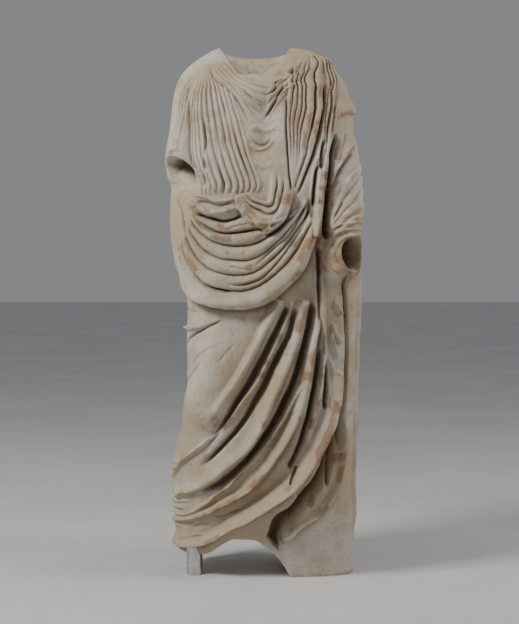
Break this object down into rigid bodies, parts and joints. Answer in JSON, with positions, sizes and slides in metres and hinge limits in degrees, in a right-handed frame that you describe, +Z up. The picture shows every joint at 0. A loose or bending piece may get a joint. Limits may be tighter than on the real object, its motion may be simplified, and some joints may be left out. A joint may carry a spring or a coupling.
{
  "type": "headless marble statue of a togate man",
  "caption": "Headless standing marble figure of a man wrapped in a toga, its lost forearm and hand leaving open sockets, held level by a short steel rod under its broken hem.",
  "frame": {"origin": "on the floor, under the middle of the whole object's box", "axes": "+Z up, the figure faces -Y, its own left arm is on the +X side"},
  "size_m": [0.5746, 0.4126, 1.496],
  "materials": {
    "marble": "weathered fine-grained marble, warm beige with brown deposits in the hollows",
    "polished_steel": "turned and polished steel bar"
  },
  "bodies": {
    "root": {"marble_statue": "marble", "support_rod": "polished_steel"}
  },
  "joints": []
}
